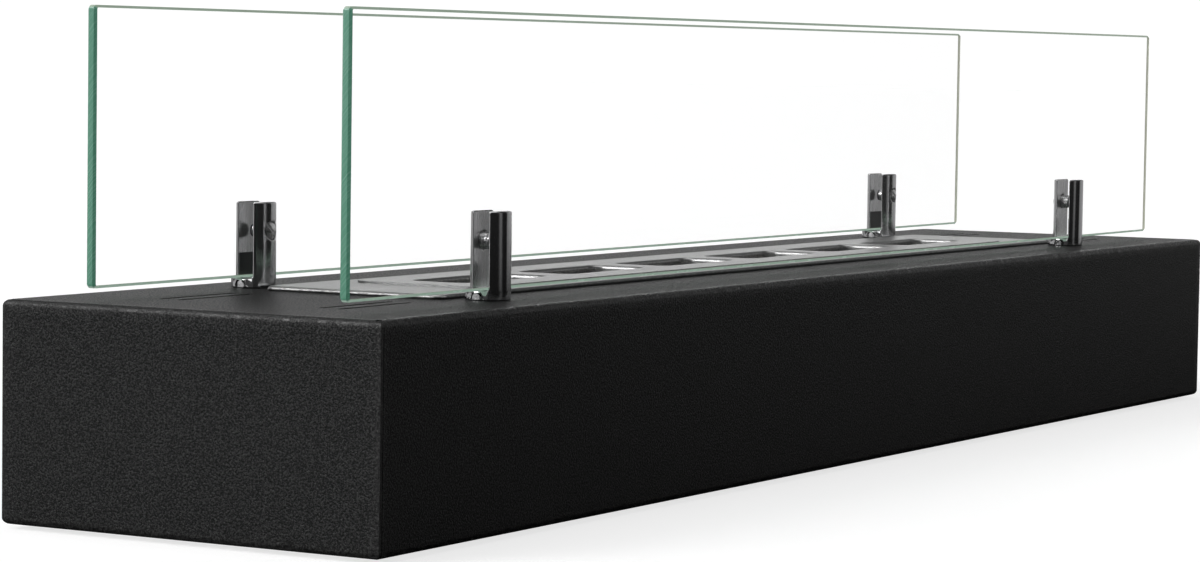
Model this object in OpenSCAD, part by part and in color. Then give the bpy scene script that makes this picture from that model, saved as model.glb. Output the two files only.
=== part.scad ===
// Free-standing bioethanol fireplace: a long folded steel casing, a drop-in
// burner with six windows, and two glass panes held by four slotted clamps.
// The long side runs along X, the front faces -Y, Z is up, and the origin is
// the middle of the footprint at the surface that the feet stand on.

/* [Casing] */
// Outside length of the casing
body_l = 950; // [780:5:1300]
// Outside depth of the casing
body_w = 200; // [166:2:300]
// Height of the painted walls
body_h = 100; // [86:1:150]
// Sheet thickness of the casing
sheet_t = 2; // [1.5:0.25:2.5]
// Outside radius of the folded edges
bend_r = 3; // [2.75:0.25:6]
// Gap of the butt seams at the upright corners
seam_gap = 0.5; // [0.3:0.1:1]
// Diameter of the relief hole where two folds meet
relief_d = 2.6; // [2:0.2:4]
// Width of the returned flange round the bottom opening
flange_w = 15; // [10:1:24]
// Gap between the casing walls and the ground
ground_gap = 2; // [1:0.5:6]

/* [Pane slots in the top] */
// Length of one slot
slot_l = 56; // [30:1:60]
// Width of one slot
slot_w = 3; // [2:0.5:5]
// Distance from the casing end to the middle of the slots
slot_end_inset = 74; // [60:1:78]
// Distance from the casing side to the inner row of slots
slot_side_inset = 62; // [56:1:70]
// Distance between the two slots of a pair
slot_pair_pitch = 10; // [7:1:14]

/* [Base] */
// Thickness of the base plate
base_t = 1.5; // [1:0.25:2]
// Clearance between the base plate and the flange opening
base_clear = 1; // [0.5:0.25:2]
// Number of air slots in each row of the base plate
vent_count = 11; // [3:1:13]
// Length of an air slot
vent_l = 34; // [16:2:40]
// Width of an air slot
vent_w = 6; // [4:1:10]
// Distance from the casing end to the middle of the last air slot
vent_end_inset = 165; // [120:5:180]
// Distance from the casing side to each row of air slots
vent_side_inset = 58; // [50:1:72]
// Diameter of a foot
foot_d = 24; // [16:1:30]
// Height of the bevel round a foot
foot_bevel = 0.8; // [0.4:0.2:1.4]
// Distance from the casing end to a foot's middle
foot_end_inset = 52; // [44:1:80]
// Distance from the casing side to a foot's middle
foot_side_inset = 42; // [38:1:60]
// Side of a square fixing tab
tab_side = 26; // [22:1:34]
// Thickness of a fixing tab
tab_t = 2; // [1.5:0.5:3]
// Distance from the casing end to the outer tabs
tab_end_inset = 120; // [100:5:180]
// Diameter of a base screw's shank
base_screw_d = 4; // [3:0.5:5]
// Diameter of a base screw's head
base_screw_head_d = 7.6; // [6.4:0.2:10]
// Height of a base screw's head
base_screw_head_h = 1.7; // [1:0.1:2]
// Length of a base screw under the head
base_screw_l = 7; // [6:0.5:12]

/* [Clamp channels] */
// Width of a channel under the top
channel_w = 30; // [24:1:36]
// Depth of a channel
channel_h = 12; // [6:1:20]
// Sheet thickness of a channel
channel_t = 1.5; // [1:0.25:2]

/* [Trim plate] */
// Distance from the casing side to the trim plate
trim_side_inset = 51; // [48:1:58]
// Distance from the burner panel to the end of the trim plate
trim_end = 50; // [20:1:58]
// Height of the trim plate's folded lip
trim_lip = 2.2; // [2:0.1:4]
// Thickness of the trim plate
trim_t = 1.2; // [0.8:0.1:1.5]
// Outside radius of the trim plate's folded edge
trim_bend = 1.8; // [1.6:0.1:1.9]
// Radius of the trim plate's corners in plan
trim_corner = 6; // [4:1:12]

/* [Burner panel] */
// Number of burner windows
win_count = 6; // [3:1:7]
// Share of the panel's width that a window takes
win_share = 0.42; // [0.3:0.01:0.5]
// Corner radius of a window
win_r = 6; // [4:1:9]
// Steel left between two windows
win_bridge = 20; // [14:1:21]
// Depth of a window's folded rim
win_lip = 4; // [3:0.5:7]
// Radius of the fold round a window
win_bend = 1.8; // [1.4:0.1:2.6]
// Steel left beyond the last window at each end
panel_end = 19; // [15:1:26]
// Distance from the casing end to the burner panel
panel_end_inset = 175; // [160:1:190]
// Width of the trim plate that shows beside the burner panel
panel_side = 13; // [8:1:16]
// Thickness of the burner panel
panel_t = 1; // [0.8:0.1:1.2]
// Corner radius of the burner panel
panel_corner = 8; // [5:1:14]

/* [Burner tank] */
// Depth of the tank
tank_h = 56; // [40:1:64]
// Wall of the tank
tank_t = 1.2; // [0.8:0.1:2]
// Width by which the panel overlaps the tank all round
tank_inset = 8; // [6:0.5:9]
// Outside radius of the tank's upright corners
tank_r = 6; // [4:1:10]
// Gap between the tank and the cut-out of the trim plate
trim_gap = 1; // [0.6:0.1:1.6]
// Gap between the tank and the cut-out of the casing
casing_gap = 2; // [1:0.25:3]
// Thickness of a baffle
baffle_t = 1; // [0.8:0.1:1.5]
// Height of a baffle
baffle_h = 44; // [34:1:50]
// Radius of a baffle's two drain notches as a share of the tank's width
notch_share = 0.11; // [0.05:0.01:0.2]
// Height of the fibre blocks
wool_h = 34; // [20:1:40]
// Gap between a fibre block and what stands beside it
wool_gap = 0.3; // [0.2:0.1:1]
// Corner radius of a fibre block
wool_r = 5; // [3:0.5:9]

/* [Heat shield] */
// Clear gap between the tank and the heat shield
shield_gap = 8; // [5:1:9]
// Sheet thickness of the heat shield
shield_t = 1; // [0.8:0.1:1.5]
// Width of the heat shield's fixing flanges
shield_flange = 14; // [10:1:15]
// Diameter of a rivet's shank
rivet_d = 3.2; // [2.4:0.2:4]
// Diameter of a rivet's head
rivet_head_d = 6; // [5:0.5:8]
// Height of a rivet's head
rivet_head_h = 1.2; // [0.8:0.1:1.6]
// Number of rivets along each side
rivet_count = 4; // [2:1:8]
// Distance from the heat shield's end to the first rivet
rivet_end = 40; // [20:5:60]

/* [Glass panes] */
// Thickness of a pane
pane_t = 5; // [4:0.5:6]
// Height of a pane
pane_h = 125; // [100:5:200]
// Distance from the casing end to the end of a pane
pane_end_inset = 20; // [5:1:60]
// Distance from the casing side to a pane's outer face
pane_side_inset = 30; // [26:0.5:30.5]
// Radius of a pane's corners
pane_r = 2; // [1:0.5:6]

/* [Clamps] */
// Diameter of a clamp
clamp_d = 21; // [20:0.5:22]
// Height of a clamp
clamp_h = 40.5; // [36:0.5:48]
// Height of the uncut foot of a clamp
clamp_foot_h = 4.6; // [4.2:0.2:8]
// Chamfer of a clamp's rims
clamp_chamfer = 0.5; // [0.3:0.1:1]
// Width of the slot that takes the glass
jaw_gap = 11; // [9:0.5:11.5]
// Distance from the casing end to a clamp's middle
clamp_end_inset = 140; // [134:1:146]
// Height of the clamp screw above the casing top
screw_z = 27; // [20:0.5:30]
// Thickness of the clear liner between clamp and glass
liner_t = 0.3; // [0.2:0.1:0.5]
// Thickness of the liner under the glass
liner_floor_t = 0.4; // [0.2:0.1:0.6]
// Width of the liner along the pane
liner_l = 16; // [10:1:17]
// Height of the liner above the foot of the clamp
liner_h = 12; // [8:1:14]

/* [Clamp screws] */
// Diameter of a clamp screw
screw_d = 8; // [6:0.5:8.5]
// Radial running gap of a clamp screw in its hole
screw_run = 0.05; // [0.02:0.01:0.1]
// Distance from the clamp's middle to the rim of the screw's end
screw_rim_y = 9.9; // [9:0.1:10.4]
// Height of the screw's domed end
screw_dome = 0.7; // [0.4:0.1:1.2]
// Width of the driver slot
driver_w = 1.3; // [0.8:0.1:1.8]
// Depth of the driver slot below the rim
driver_depth = 0.9; // [0.5:0.1:1.5]
// Angle of the driver slot from upright
driver_angle = 42; // [0:1:180]
// Diameter of the soft tip
tip_d = 6.4; // [4:0.2:6.4]
// Thickness of the soft tip
tip_t = 1; // [0.6:0.1:1.4]
// Gap between the soft tip and the glass
tip_gap = 0.1; // [0.05:0.05:0.3]

/* [Clamp studs] */
// Diameter of a stud
stud_d = 6; // [5:0.5:7]
// Depth to which a stud enters the clamp
stud_seat = 3.4; // [2.6:0.2:3.8]
// Radial running gap of a stud in its holes
stud_run = 0.05; // [0.02:0.01:0.1]
// Length of a stud
stud_l = 18; // [16:0.5:22]
// Radial gap of the stud holes in the sheets
stud_hole_gap = 0.3; // [0.2:0.1:0.8]
// Diameter of a washer
washer_d = 12.5; // [11:0.5:16]
// Thickness of a washer
washer_t = 1.2; // [0.8:0.1:1.6]
// Width of a nut across its flats
nut_af = 10; // [9:0.5:12]
// Height of a nut
nut_h = 5; // [3:0.5:6]

/* [Hidden] */

// Overrun of every cut
over = 1;
// Facet counts of round work
round_n = 64;
fine_n = 40;
hex_n = 6;

top_z = ground_gap + body_h;
under_z = top_z - sheet_t;
flange_top_z = ground_gap + sheet_t;
base_z = flange_top_z - base_t;
base_l = body_l - 2 * flange_w - 2 * base_clear;
base_w = body_w - 2 * flange_w - 2 * base_clear;
foot_h = base_z;

trim_w = body_w - 2 * trim_side_inset;
panel_w = trim_w - 2 * panel_side;
panel_l = body_l - 2 * panel_end_inset;
trim_l = panel_l + 2 * trim_end;
win_w = panel_w * win_share;
win_l = (panel_l - (win_count - 1) * win_bridge - 2 * panel_end) / win_count;
trim_z = top_z + trim_lip;
panel_z = trim_z + panel_t;
tank_l = panel_l - 2 * tank_inset;
tank_w = panel_w - 2 * tank_inset;
tank_z = trim_z - tank_h;
tank_floor_z = tank_z + tank_t;
win_pitch = win_l + win_bridge;

shield_in_l = tank_l + 2 * shield_gap;
shield_in_w = tank_w + 2 * shield_gap;
shield_floor_z = tank_z - shield_gap;

clamp_x = body_l / 2 - clamp_end_inset;
pane_face_y = body_w / 2 - pane_side_inset;
clamp_y = pane_face_y + liner_t - jaw_gap / 2;
pane_z = top_z + clamp_foot_h + liner_floor_t;
pane_l = body_l - 2 * pane_end_inset;
// Places inside a clamp, measured from its axis towards the burner
pane_inner = liner_t + pane_t - jaw_gap / 2;
tip_y = pane_inner + tip_gap;
screw_y = tip_y + tip_t;
screw_r = screw_d / 2;
dome_r = (screw_r * screw_r + screw_dome * screw_dome) / (2 * screw_dome);

slot_x = body_l / 2 - slot_end_inset;
slot_row_y = body_w / 2 - slot_side_inset;
vent_pitch = (body_l - 2 * vent_end_inset) / (vent_count - 1);
vent_row_y = body_w / 2 - vent_side_inset;
channel_l = body_w - 2 * sheet_t - 2 * base_clear;

// Rectangle with round corners, its middle at the origin
module round_rect(l, w, r) {
    square([l - 2 * r, w], center = true);
    square([l, w - 2 * r], center = true);
    for (sx = [-1, 1], sy = [-1, 1])
        translate([sx * (l / 2 - r), sy * (w / 2 - r)])
            circle(r, $fn = round_n);
}

// Slab with round upright corners, standing on z = 0
module slab(l, w, h, r) {
    linear_extrude(h)
        round_rect(l, w, r);
}

// Box whose long and short edges, top and bottom, are rounded
module folded_box(l, w, h, r) {
    intersection() {
        rotate([90, 0, 90])
            linear_extrude(l, center = true)
                translate([0, h / 2])
                    round_rect(w, h, r);
        rotate([90, 0, 0])
            linear_extrude(w, center = true)
                translate([0, h / 2])
                    round_rect(l, h, r);
    }
}

// Child profile carried round a rounded rectangle. The profile's x is measured
// outwards from the corner centres, and its y is the height.
module carried_round(l, w, r) {
    for (mx = [0, 1], my = [0, 1])
        mirror([mx, 0, 0])
            mirror([0, my, 0])
                translate([l / 2 - r, w / 2 - r, 0])
                    rotate_extrude(angle = 90, $fn = round_n)
                        children();
    for (my = [0, 1])
        mirror([0, my, 0])
            translate([r - l / 2, w / 2 - r, 0])
                rotate([90, 0, 90])
                    linear_extrude(l - 2 * r)
                        children();
    for (mx = [0, 1])
        mirror([mx, 0, 0])
            translate([l / 2 - r, w / 2 - r, 0])
                rotate([90, 0, 0])
                    linear_extrude(w - 2 * r)
                        children();
}

// Slot outline with round ends
module long_hole(l, w) {
    square([l - w, w], center = true);
    for (s = [-1, 1])
        translate([s * (l - w) / 2, 0])
            circle(w / 2, $fn = fine_n);
}

// The children at the four clamp places, the burner side of each facing inwards
module at_clamps() {
    for (mx = [0, 1], my = [0, 1])
        mirror([mx, 0, 0])
            mirror([0, my, 0])
                translate([-clamp_x, -clamp_y, 0])
                    children();
}

// One clamp place: mx and my are 0 for the front left one
module at_clamp(mx, my) {
    mirror([mx, 0, 0])
        mirror([0, my, 0])
            translate([-clamp_x, -clamp_y, 0])
                children();
}

module casing() {
    color([0.09, 0.09, 0.09])
        difference() {
            translate([0, 0, ground_gap])
                folded_box(body_l, body_w, body_h, bend_r);
            translate([0, 0, flange_top_z])
                folded_box(body_l - 2 * sheet_t, body_w - 2 * sheet_t, body_h - 2 * sheet_t, bend_r - sheet_t);
            translate([0, 0, ground_gap - over])
                slab(body_l - 2 * flange_w, body_w - 2 * flange_w, sheet_t + 2 * over, flange_w / 2);
            // cut-out for the burner
            translate([0, 0, under_z - over])
                slab(tank_l + 2 * casing_gap, tank_w + 2 * casing_gap, sheet_t + 2 * over, tank_r + casing_gap);
            // pane slots
            for (sx = [-1, 1], sy = [-1, 1], k = [0, 1])
                translate([sx * slot_x, sy * (slot_row_y + k * slot_pair_pitch), under_z - over])
                    linear_extrude(sheet_t + 2 * over)
                        long_hole(slot_l, slot_w);
            // stud holes
            at_clamps()
                translate([0, 0, under_z - over])
                    cylinder(d = stud_d + 2 * stud_hole_gap, h = sheet_t + 2 * over, $fn = round_n);
            // corner reliefs and the butt seams below them
            for (sx = [-1, 1], sy = [-1, 1]) {
                translate([sx * (body_l / 2 - bend_r), sy * (body_w / 2 - bend_r), top_z - bend_r])
                    cylinder(d = relief_d, h = bend_r + over, $fn = fine_n);
                translate([sx * (body_l / 2 - sheet_t - seam_gap / 2), sy * (body_w / 2 - sheet_t / 2),
                           ground_gap + (body_h - bend_r) / 2 - over / 2])
                    cube([seam_gap, sheet_t + 2 * over, body_h - bend_r + over], center = true);
            }
        }
}

module base_plate() {
    color([0.16, 0.16, 0.17])
        difference() {
            translate([0, 0, base_z])
                slab(base_l, base_w, base_t, flange_w / 2 - base_clear / 2);
            for (sy = [-1, 1], i = [0 : vent_count - 1])
                translate([(i - (vent_count - 1) / 2) * vent_pitch, sy * vent_row_y, base_z - over])
                    linear_extrude(base_t + 2 * over)
                        long_hole(vent_l, vent_w);
            at_tabs()
                translate([0, tab_side / 4, base_z - over])
                    cylinder(d = base_screw_d + 2 * stud_hole_gap, h = base_t + 2 * over, $fn = fine_n);
        }
}

// The children at the eight tab places, the tab's own +Y facing inwards
module at_tabs() {
    for (my = [0, 1], x = [-1, -1 / 3, 1 / 3, 1])
        mirror([0, my, 0])
            translate([x * (body_l / 2 - tab_end_inset), flange_w + 2 * base_clear - body_w / 2, 0])
                children();
}

module fixing_tabs() {
    color([0.55, 0.56, 0.58])
        at_tabs()
            difference() {
                translate([0, 0, flange_top_z])
                    slab(tab_side, tab_side, tab_t, tab_side / 8);
                translate([0, tab_side / 4, flange_top_z - over])
                    cylinder(d = base_screw_d + 2 * stud_run, h = tab_t + 2 * over, $fn = fine_n);
            }
}

module base_screws() {
    color([0.62, 0.63, 0.65])
        at_tabs()
            translate([0, tab_side / 4, 0]) {
                translate([0, 0, base_z])
                    cylinder(d = base_screw_d, h = base_screw_l, $fn = fine_n);
                difference() {
                    translate([0, 0, base_z - base_screw_head_h])
                        cylinder(d = base_screw_head_d, h = base_screw_head_h, $fn = fine_n);
                    translate([0, 0, base_z - base_screw_head_h - over])
                        cylinder(d = base_screw_head_h * 2, h = base_screw_head_h / 2 + over, $fn = hex_n);
                }
            }
}

module feet() {
    color([0.05, 0.05, 0.05])
        for (sx = [-1, 1], sy = [-1, 1])
            translate([sx * (body_l / 2 - foot_end_inset), sy * (body_w / 2 - foot_side_inset), 0])
                rotate_extrude($fn = round_n)
                    polygon([[0, 0], [foot_d / 2 - foot_bevel, 0], [foot_d / 2, foot_bevel],
                             [foot_d / 2, foot_h], [0, foot_h]]);
}

// Channel under the top that spreads the load of two clamps
module clamp_channel(side) {
    color([0.6, 0.61, 0.63])
        difference() {
            translate([side * clamp_x, 0, under_z - channel_h / 2])
                cube([channel_w, channel_l, channel_h], center = true);
            translate([side * clamp_x, 0, under_z - channel_t - channel_h / 2])
                cube([channel_w - 2 * channel_t, channel_l + 2 * over, channel_h], center = true);
            for (s = [-1, 1])
                translate([side * clamp_x, s * clamp_y, under_z - channel_h])
                    cylinder(d = stud_d + 2 * stud_hole_gap, h = channel_h + over, $fn = round_n);
        }
}

module clamp_channel_left() {
    clamp_channel(-1);
}

module clamp_channel_right() {
    clamp_channel(1);
}

// The children at the rivet places of the heat shield's two flanges
module at_rivets() {
    for (my = [0, 1], i = [0 : rivet_count - 1])
        mirror([0, my, 0])
            translate([(i / (rivet_count - 1) - 1 / 2) * (shield_in_l - 2 * rivet_end),
                       shield_in_w / 2 + shield_t + shield_flange / 2, 0])
                children();
}

module heat_shield() {
    color([0.66, 0.67, 0.69])
        difference() {
            union() {
                translate([0, 0, shield_floor_z - shield_t])
                    slab(shield_in_l + 2 * shield_t, shield_in_w + 2 * shield_t,
                         under_z - shield_floor_z + shield_t, tank_r + shield_t);
                translate([0, 0, under_z - shield_t])
                    slab(shield_in_l - 2 * tank_r, shield_in_w + 2 * shield_t + 2 * shield_flange, shield_t, tank_r / 2);
            }
            translate([0, 0, shield_floor_z])
                slab(shield_in_l, shield_in_w, under_z - shield_floor_z + over, tank_r);
            at_rivets()
                translate([0, 0, under_z - shield_t - over])
                    cylinder(d = rivet_d + 2 * stud_run, h = shield_t + 2 * over, $fn = fine_n);
        }
}

module shield_rivets() {
    color([0.7, 0.71, 0.73])
        at_rivets() {
            translate([0, 0, under_z - shield_t])
                cylinder(d = rivet_d, h = shield_t, $fn = fine_n);
            translate([0, 0, under_z - shield_t - rivet_head_h])
                cylinder(d = rivet_head_d, h = rivet_head_h, $fn = fine_n);
        }
}

module trim_plate() {
    color([0.72, 0.72, 0.71])
        difference() {
            union() {
                translate([0, 0, trim_z - trim_t])
                    slab(trim_l - 2 * trim_bend, trim_w - 2 * trim_bend, trim_t, trim_corner - trim_bend);
                carried_round(trim_l, trim_w, trim_corner) {
                    intersection() {
                        translate([trim_corner - trim_bend, trim_z - trim_bend])
                            difference() {
                                circle(trim_bend, $fn = fine_n);
                                circle(trim_bend - trim_t, $fn = fine_n);
                            }
                        translate([trim_corner - trim_bend, trim_z - trim_bend])
                            square([trim_bend, trim_bend]);
                    }
                    translate([trim_corner - trim_t, top_z])
                        square([trim_t, trim_lip - trim_bend]);
                }
            }
            translate([0, 0, top_z - over])
                slab(tank_l + 2 * trim_gap, tank_w + 2 * trim_gap, trim_lip + 2 * over, tank_r + trim_gap);
        }
}

// The children at the middle of each window
module at_windows() {
    for (i = [0 : win_count - 1])
        translate([(i - (win_count - 1) / 2) * win_pitch, 0, 0])
            children();
}

module burner_panel() {
    color([0.76, 0.76, 0.75]) {
        difference() {
            translate([0, 0, trim_z])
                slab(panel_l, panel_w, panel_t, panel_corner);
            at_windows()
                translate([0, 0, trim_z - over])
                    slab(win_l + 2 * win_bend, win_w + 2 * win_bend, panel_t + 2 * over, win_r + win_bend);
        }
        at_windows()
            carried_round(win_l, win_w, win_r) {
                intersection() {
                    translate([win_r + win_bend, panel_z - win_bend])
                        difference() {
                            circle(win_bend, $fn = fine_n);
                            circle(win_bend - panel_t, $fn = fine_n);
                        }
                    translate([win_r, panel_z - win_bend])
                        square([win_bend, win_bend]);
                }
                translate([win_r, panel_z - win_lip])
                    square([panel_t, win_lip - win_bend]);
            }
    }
}

module burner_tank() {
    color([0.7, 0.7, 0.69])
        difference() {
            translate([0, 0, tank_z])
                slab(tank_l, tank_w, tank_h, tank_r);
            translate([0, 0, tank_floor_z])
                slab(tank_l - 2 * tank_t, tank_w - 2 * tank_t, tank_h, tank_r - tank_t);
        }
}

module tank_baffles() {
    color([0.68, 0.68, 0.67])
        for (i = [0 : win_count - 2])
            translate([(i - (win_count - 2) / 2) * win_pitch, 0, tank_floor_z])
                difference() {
                    translate([0, 0, baffle_h / 2])
                        cube([baffle_t, tank_w - 2 * tank_t, baffle_h], center = true);
                    for (s = [-1, 1])
                        translate([0, s * tank_w / 4, 0])
                            rotate([0, 90, 0])
                                cylinder(r = tank_w * notch_share, h = baffle_t + 2 * over, center = true, $fn = fine_n);
                }
}

module fibre_blocks() {
    color([0.9, 0.88, 0.83]) {
        block_l = win_pitch - baffle_t - 2 * wool_gap;
        end_l = (tank_l - 2 * tank_t - (win_count - 2) * win_pitch - baffle_t) / 2 - 2 * wool_gap;
        for (i = [0 : win_count - 1]) {
            inner = i > 0 && i < win_count - 1;
            side = i == 0 ? -1 : 1;
            x = inner ? (i - (win_count - 1) / 2) * win_pitch
                      : side * (tank_l / 2 - tank_t - wool_gap - end_l / 2);
            translate([x, 0, tank_floor_z + wool_gap])
                slab(inner ? block_l : end_l, tank_w - 2 * tank_t - 2 * wool_gap, wool_h, wool_r);
        }
    }
}

// Slotted round clamp, its burner side facing +Y, standing on the casing
module clamp_body() {
    color([0.8, 0.8, 0.81])
        difference() {
            translate([0, 0, top_z])
                rotate_extrude($fn = round_n)
                    polygon([[0, 0], [clamp_d / 2 - clamp_chamfer, 0], [clamp_d / 2, clamp_chamfer],
                             [clamp_d / 2, clamp_h - clamp_chamfer], [clamp_d / 2 - clamp_chamfer, clamp_h],
                             [0, clamp_h]]);
            translate([0, 0, top_z + clamp_foot_h + clamp_h / 2])
                cube([clamp_d + 2 * over, jaw_gap, clamp_h], center = true);
            translate([0, 0, top_z + screw_z])
                rotate([-90, 0, 0])
                    cylinder(r = screw_r + screw_run, h = clamp_d, $fn = round_n);
            translate([0, 0, top_z - over])
                cylinder(r = stud_d / 2 + stud_run, h = stud_seat + over, $fn = round_n);
        }
}

module clamp_front_left() {
    at_clamp(0, 0) clamp_body();
}

module clamp_front_right() {
    at_clamp(1, 0) clamp_body();
}

module clamp_rear_left() {
    at_clamp(0, 1) clamp_body();
}

module clamp_rear_right() {
    at_clamp(1, 1) clamp_body();
}

module clamp_studs() {
    color([0.6, 0.61, 0.63])
        at_clamps()
            translate([0, 0, top_z + stud_seat - stud_l])
                cylinder(d = stud_d, h = stud_l, $fn = round_n);
}

module clamp_washers() {
    color([0.68, 0.69, 0.71])
        at_clamps()
            difference() {
                translate([0, 0, under_z - channel_t - washer_t])
                    cylinder(d = washer_d, h = washer_t, $fn = round_n);
                translate([0, 0, under_z - channel_t - washer_t - over])
                    cylinder(d = stud_d + 2 * stud_hole_gap, h = washer_t + 2 * over, $fn = round_n);
            }
}

module clamp_nuts() {
    color([0.65, 0.66, 0.68])
        at_clamps()
            difference() {
                translate([0, 0, under_z - channel_t - washer_t - nut_h])
                    cylinder(d = nut_af / cos(180 / hex_n), h = nut_h, $fn = hex_n);
                translate([0, 0, under_z - channel_t - washer_t - nut_h - over])
                    cylinder(d = stud_d + 2 * stud_run, h = nut_h + 2 * over, $fn = round_n);
            }
}

module clamp_liners() {
    color([0.85, 0.87, 0.88])
        at_clamps() {
            translate([0, liner_t / 2 - jaw_gap / 2, top_z + clamp_foot_h + liner_h / 2])
                cube([liner_l, liner_t, liner_h], center = true);
            translate([0, 0, top_z + clamp_foot_h + liner_floor_t / 2])
                cube([liner_l, jaw_gap, liner_floor_t], center = true);
        }
}

// Clamp screw with a domed, slotted end towards the burner
module clamp_screw() {
    color([0.74, 0.74, 0.75])
        translate([0, 0, top_z + screw_z])
            difference() {
                intersection() {
                    translate([0, screw_y, 0])
                        rotate([-90, 0, 0])
                            cylinder(r = screw_r, h = screw_rim_y + screw_dome - screw_y, $fn = round_n);
                    translate([0, screw_rim_y + screw_dome - dome_r, 0])
                        sphere(dome_r, $fn = round_n);
                }
                translate([0, screw_rim_y - driver_depth + clamp_d / 2, 0])
                    rotate([0, driver_angle, 0])
                        cube([driver_w, clamp_d, 2 * screw_d], center = true);
            }
}

module screw_front_left() {
    at_clamp(0, 0) clamp_screw();
}

module screw_front_right() {
    at_clamp(1, 0) clamp_screw();
}

module screw_rear_left() {
    at_clamp(0, 1) clamp_screw();
}

module screw_rear_right() {
    at_clamp(1, 1) clamp_screw();
}

// Soft tip between the clamp screw and the glass
module clamp_tip() {
    color([0.2, 0.2, 0.21])
        translate([0, tip_y, top_z + screw_z])
            rotate([-90, 0, 0])
                cylinder(d = tip_d, h = tip_t, $fn = fine_n);
}

module tip_front_left() {
    at_clamp(0, 0) clamp_tip();
}

module tip_front_right() {
    at_clamp(1, 0) clamp_tip();
}

module tip_rear_left() {
    at_clamp(0, 1) clamp_tip();
}

module tip_rear_right() {
    at_clamp(1, 1) clamp_tip();
}

// Glass pane with its outer face towards -Y
module pane() {
    color([0.62, 0.8, 0.74, 0.35])
        translate([0, pane_t - pane_face_y, pane_z + pane_h / 2])
            rotate([90, 0, 0])
                linear_extrude(pane_t)
                    round_rect(pane_l, pane_h, pane_r);
}

module front_pane() {
    pane();
}

module rear_pane() {
    mirror([0, 1, 0])
        pane();
}

casing();
base_plate();
fixing_tabs();
base_screws();
feet();
clamp_channel_left();
clamp_channel_right();
heat_shield();
shield_rivets();
trim_plate();
burner_panel();
burner_tank();
tank_baffles();
fibre_blocks();
clamp_front_left();
clamp_front_right();
clamp_rear_left();
clamp_rear_right();
clamp_studs();
clamp_washers();
clamp_nuts();
clamp_liners();
screw_front_left();
screw_front_right();
screw_rear_left();
screw_rear_right();
tip_front_left();
tip_front_right();
tip_rear_left();
tip_rear_right();
front_pane();
rear_pane();
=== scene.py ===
import math

import bmesh
import bpy
import numpy as np
from bpy.props import FloatProperty, FloatVectorProperty, PointerProperty
from bpy.types import Operator, Panel, PropertyGroup
from mathutils import Matrix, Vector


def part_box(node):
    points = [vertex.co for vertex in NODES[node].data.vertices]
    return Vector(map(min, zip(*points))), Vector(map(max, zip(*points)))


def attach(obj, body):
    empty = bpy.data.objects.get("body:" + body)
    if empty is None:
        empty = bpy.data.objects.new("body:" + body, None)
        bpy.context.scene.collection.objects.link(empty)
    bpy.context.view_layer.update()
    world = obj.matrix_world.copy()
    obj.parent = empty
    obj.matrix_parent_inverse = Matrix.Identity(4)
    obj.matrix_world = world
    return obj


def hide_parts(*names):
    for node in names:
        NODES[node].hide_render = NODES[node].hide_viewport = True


bl_info = {
    "name": "Bioethanol Fireplace",
    "version": (1, 0, 0),
    "blender": (4, 5, 0),
    "location": "View3D > Sidebar > Fireplace",
    "description": "Finishes and fine parts of a free-standing bioethanol fireplace",
    "category": "Object",
}

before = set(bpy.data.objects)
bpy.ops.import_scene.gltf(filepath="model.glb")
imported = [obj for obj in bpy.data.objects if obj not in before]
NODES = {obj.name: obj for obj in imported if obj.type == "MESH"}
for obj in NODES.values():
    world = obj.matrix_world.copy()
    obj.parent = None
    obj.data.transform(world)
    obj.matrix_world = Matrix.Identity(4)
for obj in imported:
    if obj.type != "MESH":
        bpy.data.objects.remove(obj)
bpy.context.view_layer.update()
MM = 0.001
CORNERS = ("front_left", "front_right", "rear_left", "rear_right")
VALUE = "NodeSocketFloat"
POINT = "NodeSocketVector"
MIRROR = np.array([1.0, -1.0, 1.0])
WHITE = (1.0, 1.0, 1.0, 1.0)


# Settings

def size(name, description, default, low, high):
    """A length that a user would change, in metres."""
    return FloatProperty(name=name, description=description, default=default, min=low, max=high,
                         unit="LENGTH", precision=5)


def tint(name, description, default):
    """A colour that a user would change."""
    return FloatVectorProperty(name=name, description=description, default=default, min=0.0, max=1.0,
                               subtype="COLOR")


class ClampSettings(PropertyGroup):
    edge_round: size("Edge Rounding", "Radius of the polished edges of a clamp", 0.0008, 0.0001, 0.001)
    slot_fillet: size("Slot Fillet", "Radius of the inner corners at the bottom of the slot",
                      0.0014, 0.0003, 0.003)
    bore_gap: size("Bore Gap", "Radial gap round the clamp screw", 0.00012, 0.00005, 0.0003)
    thread_pitch: size("Thread Pitch", "Travel of the clamp screw in one turn", 0.00125, 0.0008, 0.002)
    thread_depth: size("Thread Depth", "Depth of the clamp screw's thread", 0.00068, 0.0003, 0.001)
    driver_width: size("Driver Slot Width", "Width of the slot in the screw's domed end",
                       0.0013, 0.0008, 0.002)
    driver_angle: FloatProperty(
        name="Driver Slot Angle", description="Angle of the driver slot from upright",
        default=math.radians(-42.0), min=-math.pi, max=math.pi, subtype="ANGLE", unit="ROTATION")


class GlassSettings(PropertyGroup):
    arris: size("Arris", "Width of the small bevel ground along every edge of a pane",
                0.00115, 0.0001, 0.0016)
    # Edge colours by place: the grey and pale ones are painted light for how those edges are lit and seen.
    near_edge: tint("Near Edge Colour", "Green of the ground edge at the left end", (0.072, 0.240, 0.160))
    top_edge: tint("Top Edge Colour", "Pale grey green of the ground edge at the top", (0.28, 0.34, 0.27))
    bottom_edge: tint("Bottom Edge Colour", "Pale green of the ground edge at the bottom",
                      (0.27, 0.36, 0.30))
    far_edge: tint("Far Edge Colour", "Grey of the ground edge at the right end", (0.45, 0.45, 0.38))


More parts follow.
